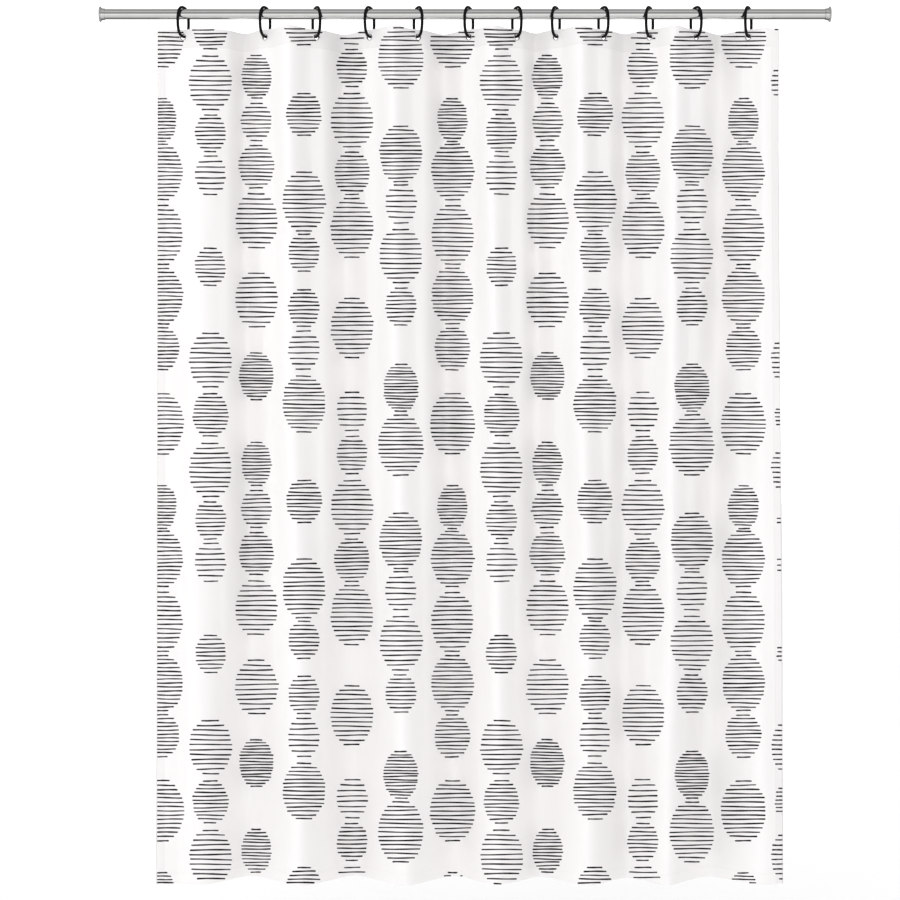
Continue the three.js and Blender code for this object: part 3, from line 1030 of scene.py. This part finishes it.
# ------------------------------------------------------------------ folds of the cloth
@dataclass
class Folds:
    """The shape of the hung cloth: its middle surface as y over x, the place along the rod, and z.

    Each knot is a place across the width, with its x, y and dy/dx at the header and at the bottom
    edge. At a height the knots lie between the two, and a cubic joins each knot to the next. A
    few long low waves lie over the folds, away from the header.
    """

    crossing_drift: tuple[float, ...] = (0, 28, 18, 30, 19, 25, 0, 19, 11, -5, -23, -23)
    second_crossing: float = 260.0
    bottom_slope: float = 1.3
    fold_depth: float = 0.48
    seat: float = 10.0
    flank: float = 5.0
    header_held_to: float = -90 * MM
    side_hem: float = 18.0
    wave_height: float = 1.1 * MM
    wave_count: int = 7
    waves_from: float = -100 * MM
    waves_full: float = -300 * MM
    header: np.ndarray = field(init=False)
    bottom: np.ndarray = field(init=False)
    z_low: float = field(init=False)
    z_high: float = field(init=False)
    waves: np.ndarray = field(init=False)

    def __post_init__(self) -> None:
        """Works out the knots, in metres, from where the rings are."""
        knots = self.left_edge()
        crossings = [self.second_crossing, *(ring_x(index) / MM for index in range(1, RINGS))]
        fallen = [x + drift for x, drift in zip(crossings, self.crossing_drift)]
        for i, x in enumerate(crossings):
            side = 1 if i % 2 == 0 else -1
            knots += self.straight(x, fallen[i], side * HEADER_SLOPE, side * self.bottom_slope, 0)
            if i + 1 < len(crossings):
                knots.append(
                    (self.crest(x, crossings[i + 1], side), self.crest(fallen[i], fallen[i + 1], side))
                )
        knots += self.right_edge()
        table = np.array(knots, float)
        table[:, :, :2] *= MM
        self.header, self.bottom = table[:, 0], table[:, 1]
        low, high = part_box("curtain_panel")
        self.z_low, self.z_high = low.z, high.z
        self.waves = self.low_waves()

    def left_edge(self) -> list:
        """Returns the knots from the left edge to the first fold, in millimetres."""
        first = ring_x(0) / MM
        return [
            ((122, 6, 0), (125, -26, 0)),
            ((122 + self.side_hem, 5, -0.1), (125 + self.side_hem, -27, -0.1)),
            *self.straight(first, first, FIRST_SLOPE, 0, -24),
            ((217, -14, 0), (214, -30, 0)),
        ]

    def right_edge(self) -> list:
        """Returns the knots from the last fold to the right edge, in millimetres."""
        return [
            ((1410, -20, 0), (1400, -34, 0)),
            ((1442 - self.side_hem, -17, 0.3), (1450 - self.side_hem, -24, 0.3)),
            ((1442, -11, 0.4), (1450, -18, 0.4)),
        ]

    def crest(self, start: float, end: float, side: int) -> tuple[float, float, float]:
        """Returns the knot at the top of a fold between two crossings."""
        return ((start + end) / 2, side * self.fold_depth * (end - start), 0)

    def straight(
        self, x: float, fallen_x: float, slope: float, fallen_slope: float, fallen_y: float
    ) -> list:
        """Works out the two knots at the ends of a straight stretch.

        Args:
            x: Its middle at the header.
            fallen_x: Its middle at the bottom edge.
            slope: Its dy/dx at the header.
            fallen_slope: Its dy/dx at the bottom edge.
            fallen_y: The y of its middle at the bottom edge.

        Returns:
            The two knots, in millimetres.
        """
        return [
            (
                (x + end * self.seat, end * self.seat * slope, slope),
                (fallen_x + end * self.flank, fallen_y + end * self.flank * fallen_slope, fallen_slope),
            )
            for end in (-1, 1)
        ]

    def low_waves(self) -> np.ndarray:
        """Draws the waves over the folds.

        Returns:
            Rows of (height, rate along x, rate along z, start).
        """
        draw = np.random.default_rng(41)
        count = self.wave_count
        return np.stack(
            [
                self.wave_height * draw.uniform(0.3, 1.0, count),
                2 * math.pi / draw.uniform(0.05, 0.13, count) * draw.choice([-1, 1], count),
                2 * math.pi / draw.uniform(0.5, 1.6, count),
                draw.uniform(0, 2 * math.pi, count),
            ],
            axis=1,
        )

    def knots_at(self, z: np.ndarray) -> np.ndarray:
        """Returns the knots at each height as (heights, knots, 3): x, y and dy/dx."""
        share = smoothstep(0, 1, (self.header_held_to - z) / (self.header_held_to - self.z_low))
        return self.header + share[:, None, None] * (self.bottom - self.header)

    def column_x(self, station: np.ndarray, z: np.ndarray) -> np.ndarray:
        """Returns x of each station, counted in knots, at each height as (heights, stations)."""
        knots = self.knots_at(z)[:, :, 0]
        index = np.minimum(station.astype(int), knots.shape[1] - 2)
        return knots[:, index] + (station - index) * (knots[:, index + 1] - knots[:, index])

    def depth(self, x: np.ndarray, z: np.ndarray) -> tuple[np.ndarray, np.ndarray]:
        """Works out the cloth's middle at places and heights.

        Args:
            x: Places along the rod, (heights, n).
            z: Heights, (heights,).

        Returns:
            y and dy/dx, each (heights, n).
        """
        knots = self.knots_at(z)
        last = knots.shape[1] - 2
        index = np.clip((knots[:, None, :, 0] <= x[:, :, None]).sum(axis=2) - 1, 0, last)
        row = np.arange(len(z))[:, None]
        x0, y0, slope0 = np.moveaxis(knots[row, index], -1, 0)
        x1, y1, slope1 = np.moveaxis(knots[row, index + 1], -1, 0)
        span = x1 - x0
        t = (x - x0) / span
        rise = 3 * (y1 - y0) - span * (2 * slope0 + slope1)
        turn = 2 * (y0 - y1) + span * (slope0 + slope1)
        y = y0 + t * (span * slope0 + t * (rise + t * turn))
        slope = slope0 + t * (2 * rise + 3 * t * turn) / span
        settled = smoothstep(self.waves_from, self.waves_full, z)[:, None]
        for height, along, down, start in self.waves:
            angle = along * x + down * z[:, None] + start
            y = y + settled * height * np.sin(angle)
            slope = slope + settled * height * along * np.cos(angle)
        return y, slope

    def points(self, x: np.ndarray, z: np.ndarray, ahead: np.ndarray | float) -> np.ndarray:
        """Works out points of the cloth, moved along its front normal (slope, -1)/length.

        Args:
            x: Places along the rod, (heights, n).
            z: Heights, (heights,).
            ahead: How far the points lie in front of the cloth's middle.

        Returns:
            Points, (heights, n, 3).
        """
        y, slope = self.depth(x, z)
        length = np.hypot(1, slope)
        height = np.broadcast_to(z[:, None], x.shape)
        return np.stack([x + ahead * slope / length, y - ahead / length, height], axis=-1)

    def at(self, x: np.ndarray, z: np.ndarray, ahead: float) -> np.ndarray:
        """Works out the point of the cloth at each x and z, arrays of one shape, moved ahead."""
        return self.points(x.reshape(-1, 1), z.ravel(), ahead).reshape(*x.shape, 3)

    def stations(self, step: float, first: float = 0.0, last: Optional[float] = None) -> np.ndarray:
        """Spaces stations about one step apart in x at the header.

        Args:
            step: The distance between two of them.
            first: The knot at which they start.
            last: The knot at which they end, or the last one of all.

        Returns:
            The stations, counted in knots.
        """
        last = len(self.header) - 1 if last is None else last
        known = np.arange(len(self.header))
        x = self.header[:, 0]
        ends = np.interp([first, last], known, x)
        count = int(round((ends[1] - ends[0]) / step)) + 1
        return np.interp(np.linspace(*ends, count), x, known)


# ------------------------------------------------------------------ cloth and hems
@dataclass
class Cloth:
    """The sheet of cloth, its turned-back edges, and the stitches that hold them."""

    folds: Folds
    thickness: float = 0.34 * MM
    hem_gap: float = 0.06 * MM
    column_step: float = 2.3 * MM
    row_step: float = 36 * MM
    header_step: float = 3.4 * MM
    close_rows_depth: float = 44 * MM
    edge_rows: tuple[float, ...] = (0.0, 0.06, 0.25)
    hole: float = 6.0 * MM
    peg_reach: float = 6 * MM
    cut: float = 1.81

    def heights(self, low: float, high: float) -> np.ndarray:
        """Spaces the rows, closer in the header and where an edge rounds over.

        Args:
            low: The layer's bottom edge.
            high: Its top edge.

        Returns:
            The heights, rising.
        """
        below = max(min(high, self.folds.z_high - self.close_rows_depth), low)
        stretches = ((low, below, self.row_step), (below, high, self.header_step))
        inner = [
            np.linspace(start, end, math.ceil((end - start) / step) + 1)
            for start, end, step in stretches
        ]
        inner = np.unique(np.concatenate([part for part in inner if len(part) > 1]).round(6))[1:-1]
        edge = np.array(self.edge_rows) * MM
        return np.concatenate([low + edge, inner, (high - edge)[::-1]])

    def layer(
        self, name: str, station: np.ndarray, z: np.ndarray, middle: float, node: str
    ) -> bpy.types.Object:
        """Makes one closed layer of cloth that replaces a CAD node.

        The front and the back lie half a thickness either side of the layer's middle, and draw
        together at the edges as the square root of the share of the way in, so that they close.

        Args:
            name: The new piece's name.
            station: Stations of the columns.
            z: Heights of the rows, rising.
            middle: How far the layer's middle lies ahead of the cloth's own.
            node: The CAD node that it replaces.

        Returns:
            The layer.
        """
        x = self.folds.column_x(station, z)
        half = self.thickness / 2
        across = np.minimum(x - x[:, :1], x[:, -1:] - x)
        down = np.minimum(z - z[0], z[-1] - z)[:, None]
        inset = np.clip(np.minimum(across, down) / half, 0, 1)
        swell = half * np.sqrt(1 - (1 - inset) ** 2)
        front = self.folds.points(x, z, middle + swell)
        back = self.folds.points(x, z, middle - swell)
        index = np.arange(x.size).reshape(x.shape)
        behind = index.copy()
        rows, columns = x.shape[0] - 2, x.shape[1] - 2
        behind[1:-1, 1:-1] = x.size + np.arange(rows * columns).reshape(rows, columns)
        points = np.vstack([front.reshape(-1, 3), back[1:-1, 1:-1].reshape(-1, 3)])
        faces = np.vstack([grid_faces(index), grid_faces(behind)[:, ::-1]])
        width = self.flat_width(station)
        flat = np.stack(np.broadcast_arrays(width[None, :], (z - self.folds.z_low)[:, None]), axis=-1)
        uv = np.vstack([flat.reshape(-1, 2), flat[1:-1, 1:-1].reshape(-1, 2)])
        piece = Finish.CLOTH.on(new_object(name, points, faces.tolist(), uv))
        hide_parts(node)
        return piece

    def flat_width(self, station: np.ndarray) -> np.ndarray:
        """Returns how far each station lies from the left edge along the cloth, at the header."""
        fine = np.linspace(0, len(self.folds.header) - 1, 4001)
        top = np.array([self.folds.z_high])
        x = self.folds.column_x(fine, top)
        y, _ = self.folds.depth(x, top)
        length = np.concatenate([[0], np.cumsum(np.hypot(np.diff(x[0]), np.diff(y[0])))])
        return np.interp(station, fine, length)

    def punched(self, piece: bpy.types.Object, grommets: Grommets) -> bpy.types.Object:
        """Cuts the grommet holes out of a layer.

        Args:
            piece: The layer.
            grommets: The grommets, for the way that each faces.

        Returns:
            The layer.
        """
        pegs = []
        for index in range(RINGS):
            reach = self.peg_reach
            outline = np.array([(0.0, -reach), (self.hole, -reach), (self.hole, reach), (0.0, reach)])
            pegs.append(turned(f"peg_{index}", outline, grommet_centre(index), grommets.front(index), 40))
        for peg in pegs:
            cut = piece.modifiers.new("hole", "BOOLEAN")
            cut.operation, cut.object, cut.solver = "DIFFERENCE", peg, "MANIFOLD"
        applied(piece)
        for peg in pegs:
            bpy.data.objects.remove(peg)
        return piece

    def build(self, grommets: Grommets) -> tuple[bpy.types.Object, list[bpy.types.Object]]:
        """Builds the sheet and its hems.

        Args:
            grommets: The grommets whose holes are cut.

        Returns:
            The sheet, and the pieces that go with it.
        """
        folds, behind = self.folds, -(self.thickness + self.hem_gap)
        everywhere = folds.stations(self.column_step)
        sheet = self.layer(
            "cloth_sheet", everywhere, self.heights(folds.z_low, folds.z_high), 0.0, "curtain_panel"
        )
        header_z = self.heights(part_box("header_hem")[0].z, folds.z_high)
        header = self.layer("header_turning", everywhere, header_z, behind, "header_hem")
        bottom_z = self.heights(folds.z_low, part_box("bottom_hem")[1].z)
        bottom = self.layer("bottom_turning", everywhere, bottom_z, behind, "bottom_hem")
        self.punched(sheet, grommets)
        self.punched(header, grommets)
        hems = [header, bottom]
        last = len(folds.header) - 1
        for side, first_knot, last_knot in (("left", 0, 1), ("right", last - 1, last)):
            low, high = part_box(f"{side}_side_hem")
            station = folds.stations(self.column_step, first_knot, last_knot)
            z = self.heights(low.z, high.z)
            hems.append(self.layer(f"{side}_turning", station, z, behind, f"{side}_side_hem"))
        for piece in (sheet, *hems):
            draws_with_curtain(piece)
            log.info("%s draws with the curtain", piece.name)
        return sheet, hems


# ------------------------------------------------------------------ marks on the cloth
RIBBON_BORDER = 0.4 * MM
RIBBON_LEAST = 0.25


def ribbons(
    folds: Folds, name: str, x: np.ndarray, z: np.ndarray, half: np.ndarray, ahead: float
) -> bpy.types.Object:
    """Lays narrow ribbons on the cloth, all as one piece.

    Row k of the arrays is one ribbon. Its two edges are the cloth's own points at place x, half
    its width above and below the height z.

    Args:
        folds: The cloth's shape.
        name: The piece's name.
        x: Places along the rod, (ribbons, steps).
        z: Heights of the ribbon's middle, (ribbons, steps).
        half: Half the ribbon's width, (ribbons, steps).
        ahead: Distance in front of the cloth's middle, or behind it if negative.

    Returns:
        The piece, without the faces that would pass the cloth's top or bottom edge, and without
        the ribbons that keep no more than the least share of their faces.
    """
    edges = np.stack([z - half, z + half], axis=1)
    points = folds.at(np.stack([x, x], axis=1), edges, ahead)
    index = np.arange(edges.size).reshape(edges.shape)
    start, end = index[:, :, :-1], index[:, :, 1:]
    quads = np.stack([start[:, 0], end[:, 0], end[:, 1], start[:, 1]], axis=-1).reshape(-1, 4)
    inside = (edges > folds.z_low + RIBBON_BORDER) & (edges < folds.z_high - RIBBON_BORDER)
    kept = inside.ravel()[quads].all(axis=1).reshape(len(x), -1)
    kept &= kept.mean(axis=1, keepdims=True) > RIBBON_LEAST
    quads = quads[kept.ravel()]
    quads = quads if ahead > 0 else quads[:, ::-1]
    return new_object(name, points.reshape(-1, 3), quads.tolist())


class Dot(Enum):
    """Kinds of striped dot: width and stroke pitch in millimetres, and the number of strokes."""

    GREAT = (96, 9.1, 15)
    LARGE_OPEN = (91, 10.3, 12)
    LARGE = (91, 9.6, 14)
    LARGE_CLOSE = (91, 8.4, 15)
    MIDDLE = (76, 8.1, 12)
    MIDDLE_CLOSE = (74, 6.6, 16)
    SMALL = (66, 8.7, 10)
    SMALL_OPEN = (66, 11.5, 8)
    SMALL_CLOSE = (65, 7.0, 14)


@dataclass
class DotPrint:
    """Striped dots in columns, drawn as separate brush strokes.

    The dots are round and level as seen from the standing point in front of the curtain.
    """

    folds: Folds
    cloth: Cloth
    column_repeat: float = 618.4 * MM
    columns_drawn: int = 14
    repeat: float = 822.4 * MM
    repeats: int = 3
    stroke_half: float = 1.5 * MM
    # how far a stroke sways, how many radians of sway it has, and how much its width swells
    wander: float = 0.5 * MM
    wander_turn: float = 4.2
    full_wander_length: float = 60 * MM
    swell: float = 0.1
    swell_rate: float = 2.3
    tilt: float = 0.014
    tilt_rate: float = 7.0
    tip: tuple[float, float] = (0.5, 1.3)
    tip_length: float = 1.1 * MM
    uneven_ends: float = 0.9 * MM
    uneven_rows: float = 0.35 * MM
    shortest: float = 8 * MM
    past_edge: float = 12 * MM
    edge_gap: float = 0.8 * MM
    hem_shown: float = 42 * MM
    proud: float = 0.16 * MM
    grommet_reach: float = 6.9 * MM
    # Where the six columns lie along the rod, in millimetres
    columns_x: tuple[float, ...] = (131.8, 235.9, 333.6, 434.6, 536.6, 640.6)
    steps: int = 33
    # Down each column: how far below the rod's axis a dot's middle lies, in millimetres
    columns: tuple = (
        (
            (48, Dot.GREAT),
            (225, Dot.SMALL_CLOSE),
            (335, Dot.LARGE_CLOSE),
            (469, Dot.LARGE),
            (599, Dot.LARGE_CLOSE),
            (711, Dot.MIDDLE),
        ),
        (
            (29, Dot.MIDDLE),
            (146, Dot.LARGE_OPEN),
            (253, Dot.SMALL),
            (342, Dot.SMALL_OPEN),
            (537, Dot.SMALL),
            (735, Dot.LARGE_OPEN),
        ),
        (
            (133, Dot.SMALL_CLOSE),
            (229, Dot.SMALL),
            (324, Dot.MIDDLE),
            (439, Dot.LARGE_OPEN),
            (607, Dot.LARGE_OPEN),
            (769, Dot.MIDDLE_CLOSE),
        ),
        (
            (6, Dot.LARGE_CLOSE),
            (213, Dot.MIDDLE),
            (398, Dot.LARGE),
            (507, Dot.SMALL),
            (624, Dot.SMALL),
            (714, Dot.SMALL_OPEN),
        ),
        (
            (22, Dot.SMALL_OPEN),
            (114, Dot.SMALL),
            (225, Dot.LARGE_OPEN),
            (338, Dot.MIDDLE),
            (454, Dot.LARGE),
            (667, Dot.LARGE),
        ),
        (
            (93, Dot.GREAT),
            (297, Dot.LARGE_CLOSE),
            (403, Dot.SMALL_OPEN),
            (514, Dot.LARGE_OPEN),
            (621, Dot.SMALL),
            (794, Dot.MIDDLE_CLOSE),
        ),
    )

    def strokes(self) -> np.ndarray:
        """Works out every brush stroke.

        A dot's strokes lie one pitch apart, and each is as long as an ellipse is wide there, give
        or take a little. Those beyond the cloth's edges are left out or cut short.

        Returns:
            Rows of (left end, right end, height, wander phase, weight), in metres.
        """
        draw = np.random.default_rng(12)
        rows = []
        drops = np.arange(self.repeats) * self.repeat
        for column in range(self.columns_drawn):
            turn, kind = divmod(column, len(self.columns))
            x = self.columns_x[kind] * MM + turn * self.column_repeat
            for below, dot in self.columns[kind]:
                width, pitch, count = dot.value
                place = (np.arange(count) + 0.5) / count * 2 - 1
                half = width / 2 * MM * np.sqrt(1 - place**2)
                top = -(below - (count - 1) * pitch / 2) * MM
                for drop in drops:
                    z = top - drop - np.arange(count) * pitch * MM
                    uneven = draw.normal(0, self.uneven_ends, (2, count))
                    sway = draw.normal(0, self.uneven_rows, count)
                    left, right = x - half + uneven[0], x + half + uneven[1]
                    phase = draw.uniform(0, 2 * math.pi, count)
                    weight = draw.uniform(0.85, 1.15, count)
                    rows.append(np.stack([left, right, z + sway, phase, weight], axis=1))
        return np.vstack(rows)

    def on_cloth(self, rows: np.ndarray, margin: float) -> np.ndarray:
        """Picks the strokes that lie on the cloth, and cuts them short at its side edges.

        Args:
            rows: Strokes, as `strokes` gives them.
            margin: How far from the edges they end.

        Returns:
            The strokes that are left.
        """
        folds, (eye_x, eye_y, _) = self.folds, STANDING_POINT
        z, past = rows[:, 2], self.past_edge
        rows = rows[(z > folds.z_low - past + margin) & (z < folds.z_high + past - margin)]
        knots = folds.knots_at(rows[:, 2])
        edge = margin + self.edge_gap
        for column, knot, inward in ((0, 0, 1), (1, -1, -1)):
            away = -knots[:, knot, 1] / eye_y
            seen = (knots[:, knot, 0] + inward * edge + eye_x * away) / (1 + away)
            limit = np.maximum if inward > 0 else np.minimum
            rows[:, column] = limit(rows[:, column], seen)
        return rows[rows[:, 1] - rows[:, 0] > self.shortest]

    def behind_the_view(self, x: np.ndarray, z: np.ndarray) -> tuple[np.ndarray, np.ndarray]:
        """Finds the places of the cloth that are seen at places of the plane through the rod.

        The line from the eye through (x, 0, z) meets the cloth, at depth y, at x + (x - eye x) *
        y / d and z + (z - eye z) * y / d, where d is the eye's distance. Four rounds settle y.

        Args:
            x: Places along the rod, (strokes, steps).
            z: Heights, (strokes, steps).

        Returns:
            x and z on the cloth.
        """
        eye_x, eye_y, eye_z = STANDING_POINT
        on_x, on_z = x, z
        for _ in range(4):
            away = self.folds.at(on_x, on_z, 0.0)[..., 1] / -eye_y
            on_x, on_z = x + (x - eye_x) * away, z + (z - eye_z) * away
        return on_x, on_z

    def lay(self, name: str, rows: np.ndarray, ahead: float, finish: Finish) -> bpy.types.Object:
        """Lays strokes on one face of the cloth.

        The steps along a stroke are closer at its tips, where its width goes as the square root
        of the way in from the end. Along it the height sways and the width swells as sines.

        Args:
            name: The piece's name.
            rows: Strokes, as `strokes` gives them.
            ahead: Distance in front of the cloth's middle.
            finish: The ink, or the pale grey painted shadow of the print on the back face.

        Returns:
            The print on that face.
        """
        left, right, z, phase, weight = rows.T
        even = np.linspace(0, 1, self.steps - 4)
        length = (right - left)[:, None]
        tip = np.array(self.tip) * MM
        inner = np.stack([np.minimum(tip[k] / length[:, 0], 0.3) for k in (0, 1)], axis=1)
        middle = inner[:, 1:] + (1 - 2 * inner[:, 1:]) * even[None, 1:-1]
        zero = np.zeros((len(rows), 1))
        place = np.hstack([zero, inner, middle, 1 - inner[:, ::-1], zero + 1])
        x = left[:, None] + place * length
        from_end = np.minimum(place, 1 - place) * length
        taper = np.sqrt(np.clip(from_end / self.tip_length, 0.06, 1))
        wander = phase[:, None] + place * self.wander_turn
        swell = 1 + self.swell * np.sin(self.swell_rate * wander + 1.0)
        half = self.stroke_half * weight[:, None] * taper * swell
        tilt = self.tilt * np.cos(self.tilt_rate * phase)[:, None] * (place - 0.5) * length
        rise = tilt + self.wander * np.sin(wander) * np.minimum(length / self.full_wander_length, 1)
        on_x, on_z = self.behind_the_view(x, z[:, None] + rise)
        piece = finish.on(ribbons(self.folds, name, on_x, on_z, half, ahead))
        self.clear_grommets(piece)
        log.info("%s: %d strokes draw with the curtain", name, len(rows))
        return draws_with_curtain(piece)

    def clear_grommets(self, piece: bpy.types.Object) -> None:
        """Takes away the print that would lie across a grommet."""
        mesh = piece.data
        centre = np.zeros(len(mesh.polygons) * 3)
        mesh.polygons.foreach_get("center", centre)
        centre = centre.reshape(-1, 3)
        hidden = np.zeros(len(centre), bool)
        for index in range(RINGS):
            hidden |= np.linalg.norm(centre - grommet_centre(index), axis=1) < self.grommet_reach
        corner = np.zeros(len(mesh.loops), np.int32)
        mesh.loops.foreach_get("vertex_index", corner)
        faces = corner.reshape(-1, 4)[~hidden]
        used, renumbered = np.unique(faces, return_inverse=True)
        points = np.zeros(len(mesh.vertices) * 3)
        mesh.vertices.foreach_get("co", points)
        clean = bpy.data.meshes.new(mesh.name)
        clean.from_pydata(points.reshape(-1, 3)[used].tolist(), [], renumbered.reshape(-1, 4).tolist())
        clean.polygons.foreach_set("use_smooth", np.ones(len(clean.polygons), bool))
        clean.materials.append(mesh.materials[0])
        piece.data = clean

    def build(self) -> list[bpy.types.Object]:
        """Builds the print, and the faint shadow of it that shows behind, and returns both."""
        rows, ahead = self.strokes(), self.cloth.thickness / 2 + self.proud
        seen, shadow = (self.on_cloth(rows.copy(), margin) for margin in (0.0, self.hem_shown))
        return [
            self.lay("dot_print", seen, ahead, Finish.INK),
            # The strokes on the back are a painted shadow of the print, not ink
            self.lay("dot_print_shadow", shadow, -ahead, Finish.PRINT_SHADOW),
        ]


@dataclass
class Stitches:
    """Lockstitch rows that hold the turned-back edges, seen as short raised threads."""

    folds: Folds
    cloth: Cloth
    pitch: float = 3.6 * MM
    length: float = 2.6 * MM
    half: float = 0.26 * MM
    inset: float = 2.2 * MM
    proud: float = 0.04 * MM
    place_step: float = 0.4 * MM

    def threads(
        self, name: str, at: np.ndarray, run: np.ndarray, outward: np.ndarray
    ) -> bpy.types.Object:
        """Makes a piece of many short threads, each a closed lens on four sides.

        Args:
            name: The piece's name.
            at: Middle of each thread on the cloth's front, (n, 3).
            run: Half-length direction of each thread, (n, 3).
            outward: The cloth's front normal at each thread, (n, 3).

        Returns:
            The threads.
        """
        across = np.cross(run, outward)
        across *= self.half / np.linalg.norm(across, axis=1, keepdims=True)
        lift = outward * self.half
        rings = []
        for share, girth in ((-0.75, 0.75), (0.0, 1.0), (0.75, 0.75)):
            middle = at + share * run
            sides = (across, lift, -across, -lift)
            rings.append(np.stack([middle + girth * side for side in sides], axis=1))
        body = np.stack(rings, axis=1)
        tips = np.stack([at - run, at + run], axis=1)
        count = len(at)
        points = np.concatenate([body.reshape(count, 12, 3), tips], axis=1)
        grid = np.arange(12).reshape(3, 4)
        flanks = grid_faces(grid, wrap_columns=True)[:, ::-1]
        caps = [(12, grid[0, k], grid[0, (k + 1) % 4]) for k in range(4)]
        caps += [(13, grid[2, (k + 1) % 4], grid[2, k]) for k in range(4)]
        base = np.arange(count)[:, None, None] * 14
        quads = (flanks[None] + base).reshape(-1, 4)
        triangles = (np.array(caps)[None] + base).reshape(-1, 3)
        piece = new_object(name, points.reshape(-1, 3), quads.tolist() + triangles.tolist())
        return Finish.THREAD.on(piece)

    def level_row(self, name: str, z: float) -> bpy.types.Object:
        """Makes a row of stitches across the width, evenly spaced along the folds.

        Args:
            name: The piece's name.
            z: The row's height.

        Returns:
            The row.
        """
        station = self.folds.stations(self.place_step)
        x = self.folds.column_x(station, np.array([z]))
        y, _ = self.folds.depth(x, np.array([z]))
        travelled = np.concatenate([[0], np.cumsum(np.hypot(np.diff(x[0]), np.diff(y[0])))])
        spots = np.arange(self.pitch, travelled[-1] - self.pitch, self.pitch)
        place = np.interp(spots, travelled, x[0])[None, :]
        return self.finish(name, place, np.array([z]), level=True)

    def upright_row(self, name: str, from_left: float, low: float, high: float) -> bpy.types.Object:
        """Makes a row of stitches down one side.

        Args:
            name: The piece's name.
            from_left: How far in from the left edge it lies, or from the right edge if negative.
            low: The height below which it doesn't reach.
            high: The height above which it doesn't reach.

        Returns:
            The row.
        """
        z = np.arange(low + self.pitch, high - self.pitch, self.pitch)
        knots = self.folds.knots_at(z)[:, :, 0]
        edge = knots[:, 0] if from_left > 0 else knots[:, -1]
        return self.finish(name, (edge + from_left)[:, None], z, level=False)

    def finish(self, name: str, x: np.ndarray, z: np.ndarray, level: bool) -> bpy.types.Object:
        """Lays threads at places on the cloth's front, and makes them draw with the curtain.

        Args:
            name: The piece's name.
            x: Places along the rod, (heights, n).
            z: Heights, (heights,).
            level: Whether the threads run across the cloth, and not up it.

        Returns:
            The row.
        """
        at = self.folds.points(x, z, self.cloth.thickness / 2 + self.proud).reshape(-1, 3)
        _, slope = self.folds.depth(x, z)
        slope = slope.ravel()
        size = np.hypot(1, slope)
        flat = np.stack([1 / size, slope / size, 0 * size], axis=1)
        outward = np.stack([slope / size, -1 / size, 0 * size], axis=1)
        run = (flat if level else np.array([[0.0, 0.0, 1.0]]) + 0 * flat) * self.length / 2
        piece = self.threads(name, at, run, outward)
        log.info("%s: %d stitches draw with the curtain", name, len(at))
        return draws_with_curtain(piece)

    def build(self) -> list[bpy.types.Object]:
        """Builds the rows of stitches along all four edges and returns them."""
        header_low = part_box("header_hem")[0].z
        bottom_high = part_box("bottom_hem")[1].z
        side = self.folds.side_hem * MM - self.inset
        return [
            self.level_row("header_stitches", header_low + self.inset),
            self.level_row("bottom_stitches", bottom_high - self.inset),
            self.upright_row("left_stitches", side, bottom_high, header_low),
            self.upright_row("right_stitches", -side, bottom_high, header_low),
        ]


# ------------------------------------------------------------------ the whole curtain
def main() -> None:
    logging.basicConfig(level=logging.INFO, format="%(message)s")
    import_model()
    Studio().build()
    Rod().build()
    Rings().build()
    grommets = Grommets()
    grommets.build()
    folds = Folds()
    cloth = Cloth(folds)
    sheet, hems = cloth.build(grommets)
    marks = DotPrint(folds, cloth).build() + Stitches(folds, cloth).build()


if __name__ == "__main__":
    main()
